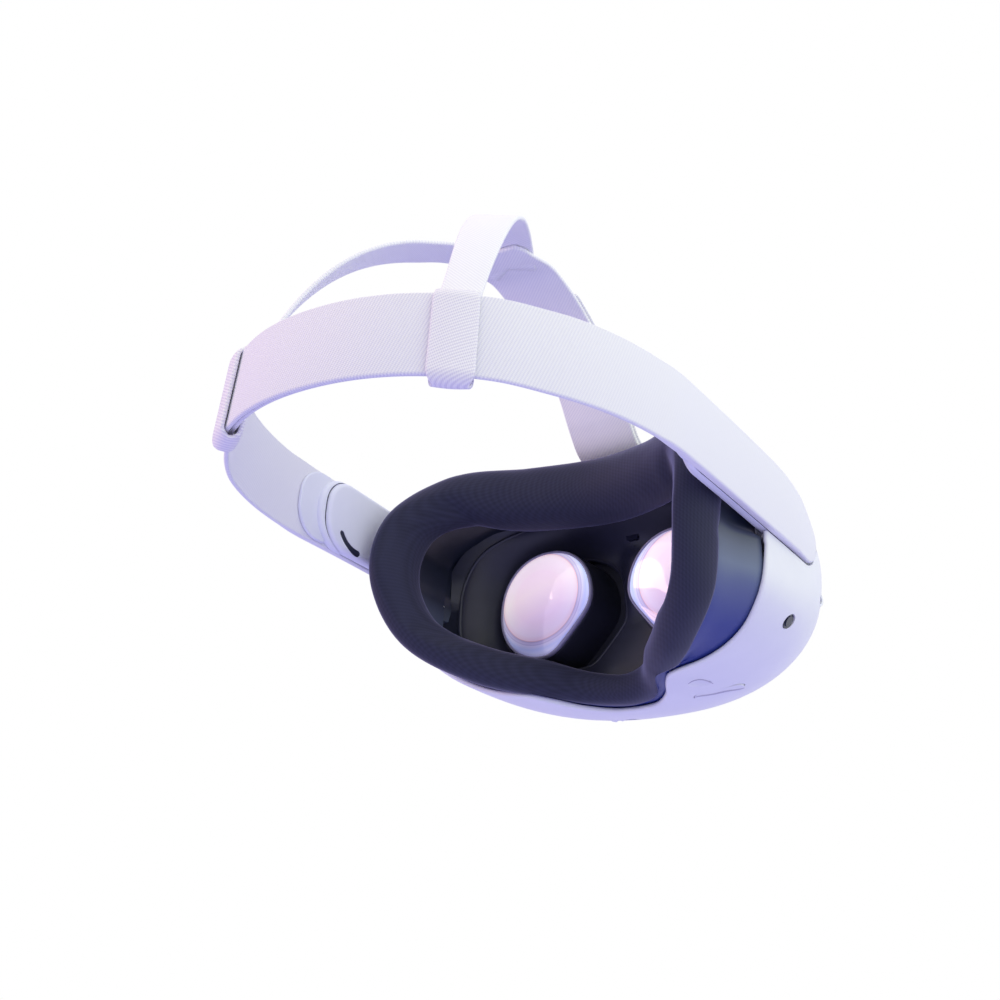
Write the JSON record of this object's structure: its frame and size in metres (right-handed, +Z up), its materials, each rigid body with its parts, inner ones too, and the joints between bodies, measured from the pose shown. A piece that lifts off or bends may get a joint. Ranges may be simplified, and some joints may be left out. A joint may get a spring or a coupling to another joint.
{
  "type": "vr headset",
  "caption": "Standalone virtual reality headset: rounded visor, padded face ring, sliding lenses, tilting strap arms and a fabric head strap with a split top strap.",
  "frame": {"origin": "midway between the wearer's pupils", "axes": "+Z up, -Y to the front of the visor, +X to the wearer's left"},
  "size_m": [0.1938, 0.2695, 0.1653],
  "materials": {
    "shell": "satin white with a cool tint",
    "dark": "matte near-black",
    "slate": "satin slate blue",
    "cushion": "fine charcoal knit over foam",
    "strap": "off-white twill webbing",
    "glass": "polished dark window",
    "lens": "coated lens, pink and blue sheen",
    "metal": "satin",
    "board": "solder mask",
    "pack": "foil sleeve"
  },
  "bodies": {
    "visor": {"front_cover": "shell", "rear_housing": "shell", "mid_frame": "metal", "mainboard": "board", "heat_spreader": "metal", "battery_pack": "pack", "fan_housing": "dark", "status_led": "lens", "eye_plate": "dark", "proximity_sensor": "glass", "guide_rod_upper": "metal", "guide_rod_lower_left": "metal", "guide_rod_lower_right": "metal", "usb_port": "metal", "audio_jack": "metal", "top_strap_anchor": "metal", "frame_screw_1": "metal", "frame_screw_2": "metal", "frame_screw_3": "metal", "frame_screw_4": "metal", "camera_window_left": "glass", "camera_window_right": "glass", "front_camera_left": "dark", "front_camera_right": "dark", "side_camera_left": "glass", "side_camera_right": "glass", "pivot_pin_left": "metal", "pivot_pin_right": "metal"},
    "fan": {"fan_rotor": "dark"},
    "power_key": {"power_button": "shell"},
    "volume_key": {"volume_rocker": "shell"},
    "thumb_wheel": {"ipd_wheel": "dark"},
    "lens_cell_left": {"lens_barrel_left": "dark", "lens_left": "lens", "display_left": "glass", "ipd_rack_left": "metal"},
    "lens_cell_right": {"lens_barrel_right": "dark", "lens_right": "lens", "display_right": "glass", "ipd_rack_right": "metal"},
    "face_interface": {"interface_frame": "slate", "face_cushion": "cushion"},
    "depth_key_left": {"depth_button_left": "dark"},
    "depth_key_right": {"depth_button_right": "dark"},
    "head_strap": {"strap_arm_left": "shell", "strap_arm_right": "shell", "speaker_left": "dark", "speaker_right": "dark", "speaker_cover_left": "shell", "speaker_cover_right": "shell", "strap_clip_left": "shell", "strap_clip_right": "shell", "strap_band_left": "strap", "strap_band_right": "strap", "top_strap": "strap", "top_strap_branch_left": "strap", "top_strap_branch_right": "strap"},
    "sleeve_left": {"slider_sleeve_left": "strap"},
    "sleeve_right": {"slider_sleeve_right": "strap"}
  },
  "joints": [
    {"name": "fan_spin", "type": "hinge", "parent": "visor", "child": "fan", "pos_m": [0, -0.055, 0.014], "axis": [0, 1, 0], "continuous": true},
    {"name": "power_press", "type": "slide", "parent": "visor", "child": "power_key", "axis": [-0.93, 0.3676, 0], "range_m": [0, 0.0008], "stiffness_N_per_m": 500, "springref_m": -0.0008},
    {"name": "volume_rock", "type": "hinge", "parent": "visor", "child": "volume_key", "pos_m": [-0.0404, -0.0415, -0.0418], "axis": [-0.2375, 0.9703, 0.0462], "range_deg": [-2, 2], "stiffness_Nm_per_rad": 0.3},
    {"name": "lens_left_slide", "type": "slide", "parent": "visor", "child": "lens_cell_left", "axis": [1, 0, 0], "range_m": [-0.0045, 0.002]},
    {"name": "lens_right_slide", "type": "slide", "parent": "visor", "child": "lens_cell_right", "axis": [1, 0, 0], "range_m": [-0.002, 0.0045]},
    {"name": "ipd_wheel_turn", "type": "hinge", "parent": "visor", "child": "thumb_wheel", "pos_m": [0.022, -0.057, -0.0314], "axis": [0, 1, 0], "range_deg": [-100, 50]},
    {"name": "interface_depth", "type": "slide", "parent": "visor", "child": "face_interface", "axis": [0, 1, 0], "range_m": [0, 0.011]},
    {"name": "depth_press_left", "type": "slide", "parent": "face_interface", "child": "depth_key_left", "axis": [1, 0, 0], "range_m": [0, 0.0007], "stiffness_N_per_m": 500, "springref_m": -0.0008},
    {"name": "depth_press_right", "type": "slide", "parent": "face_interface", "child": "depth_key_right", "axis": [-1, 0, 0], "range_m": [0, 0.0007], "stiffness_N_per_m": 500, "springref_m": -0.0008},
    {"name": "strap_tilt", "type": "hinge", "parent": "visor", "child": "head_strap", "pos_m": [0, -0.014, 0.015], "axis": [1, 0, 0], "range_deg": [-6, 6], "deforming": ["top_strap", "top_strap_branch_left", "top_strap_branch_right"]},
    {"name": "sleeve_left_slide", "type": "hinge", "parent": "head_strap", "child": "sleeve_left", "pos_m": [-0.0039, 0.0894, 0], "axis": [0, 0, 1], "range_deg": [-4, 3.5]},
    {"name": "sleeve_right_slide", "type": "hinge", "parent": "head_strap", "child": "sleeve_right", "pos_m": [0.0039, 0.0894, 0], "axis": [0, 0, 1], "range_deg": [-3.5, 4]}
  ],
  "couplings": [
    {"joint": "lens_right_slide", "follows": "lens_left_slide", "ratio": -1},
    {"joint": "ipd_wheel_turn", "follows": "lens_left_slide", "rad_per_m": 312.5}
  ]
}
